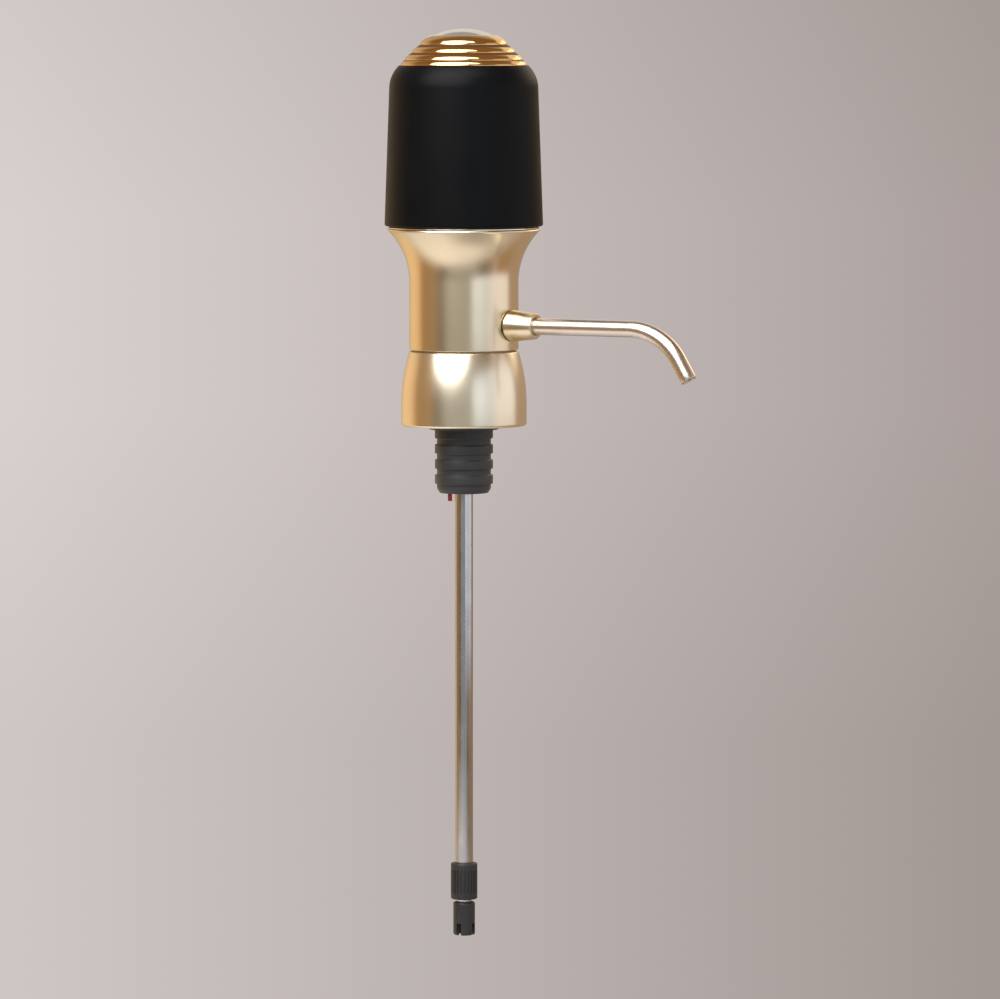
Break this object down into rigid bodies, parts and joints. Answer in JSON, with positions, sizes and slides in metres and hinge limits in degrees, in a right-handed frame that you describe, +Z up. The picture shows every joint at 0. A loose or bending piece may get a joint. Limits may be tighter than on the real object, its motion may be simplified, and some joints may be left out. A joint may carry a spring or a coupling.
{
  "type": "electric wine aerator dispenser",
  "caption": "Battery wine aerator that plugs into a bottle neck: a top button runs an air pump that pushes wine up a telescopic dip tube and out of a bent spout.",
  "frame": {"origin": "centre of the bottle's lip, where the stopper's flange rests on it", "axes": "+Z up along the bottle's axis, +X towards the spout"},
  "size_m": [0.1126, 0.0522, 0.2996],
  "materials": {
    "silver_button": "polished silver plating",
    "polished_gold": "polished gold anodised",
    "satin_gold": "satin champagne gold anodised",
    "gold_tube": "brushed, gold coated",
    "black_soft": "soft touch matte black",
    "black_plastic": "moulded, fine grain",
    "pale_plastic": "moulded natural",
    "white_plastic": "smooth",
    "red_plastic": "smooth",
    "steel": "drawn",
    "plated_steel": "zinc plated",
    "magnet": "sintered",
    "copper_winding": "enamelled winding",
    "cell_wrap": "printed sleeve, left plain",
    "board_green": "solder mask",
    "chip_black": "moulded",
    "lead_wire": "insulation",
    "silicone_black": "silicone",
    "silicone_clear": "milky silicone",
    "rubber_red": "moulded rubber"
  },
  "bodies": {
    "body": {"chassis": "black_plastic", "clamp_screws": "plated_steel", "battery_carrier": "black_plastic", "battery_cell_1": "cell_wrap", "battery_cell_2": "cell_wrap", "battery_cell_3": "cell_wrap", "battery_cell_4": "cell_wrap", "lower_contacts": "plated_steel", "upper_contacts": "plated_steel", "control_board": "board_green", "board_parts": "chip_black", "board_screws": "plated_steel", "tact_switch": "chip_black", "motor_can": "plated_steel", "motor_magnets": "magnet", "motor_end_cap": "white_plastic", "motor_leads": "lead_wire", "motor_screws": "plated_steel", "pump_cushion": "silicone_black", "pump_frame": "pale_plastic", "mount_screws": "plated_steel", "diaphragm": "silicone_black", "valve_plate": "pale_plastic", "check_valves": "rubber_red", "pump_head": "pale_plastic", "pump_screws": "plated_steel", "air_hose": "silicone_clear", "waist_shell": "satin_gold", "manifold": "pale_plastic", "spout_sleeve": "satin_gold", "spout_seal": "silicone_black", "base_ring": "satin_gold", "base_plate": "black_plastic", "base_screws": "plated_steel", "stopper": "silicone_black", "air_valve": "rubber_red", "dip_tube_upper": "steel", "dip_tube_seal": "silicone_black", "tube_collar": "black_plastic", "collar_seal": "silicone_black"},
    "cover": {"housing": "black_soft", "crown": "polished_gold", "button_guide": "black_plastic", "button_spring": "steel", "crown_screws": "plated_steel"},
    "button": {"push_button": "silver_button"},
    "switch": {"switch_plunger": "red_plastic"},
    "rotor": {"motor_armature": "copper_winding", "motor_shaft": "steel", "drive_wheel": "white_plastic"},
    "wobble": {"wobble_plate": "white_plastic", "wobble_pin": "steel"},
    "spout": {"spout_tube": "gold_tube"},
    "lower_tube": {"dip_tube_lower": "steel", "tube_foot": "black_plastic"}
  },
  "joints": [
    {"name": "cover_twist", "type": "hinge", "parent": "body", "child": "cover", "pos_m": [0, 0, 0.0666], "axis": [0, 0, 1], "range_deg": [0, 20]},
    {"name": "button_press", "type": "slide", "parent": "cover", "child": "button", "axis": [0, 0, -1], "range_m": [0, 0.0012], "stiffness_N_per_m": 700, "springref_m": -0.0006, "deforming": ["button_spring"]},
    {"name": "switch_press", "type": "slide", "parent": "body", "child": "switch", "axis": [0, 0, -1], "range_m": [0, 0.0012]},
    {"name": "motor_spin", "type": "hinge", "parent": "body", "child": "rotor", "pos_m": [0, 0, 0.0733], "axis": [0, 0, 1], "continuous": true},
    {"name": "wobble_turn", "type": "hinge", "parent": "rotor", "child": "wobble", "pos_m": [0, 0, 0.0626], "axis": [0.1045, 0, 0.9945], "continuous": true, "deforming": ["diaphragm"]},
    {"name": "dip_tube_extend", "type": "slide", "parent": "body", "child": "lower_tube", "axis": [0, 0, -1], "range_m": [0, 0.115]},
    {"name": "spout_pull", "type": "slide", "parent": "body", "child": "spout", "axis": [1, 0, 0], "range_m": [0, 0.025]}
  ],
  "couplings": [
    {"joint": "switch_press", "follows": "button_press", "ratio": 1},
    {"joint": "wobble_turn", "follows": "motor_spin", "ratio": -1}
  ]
}
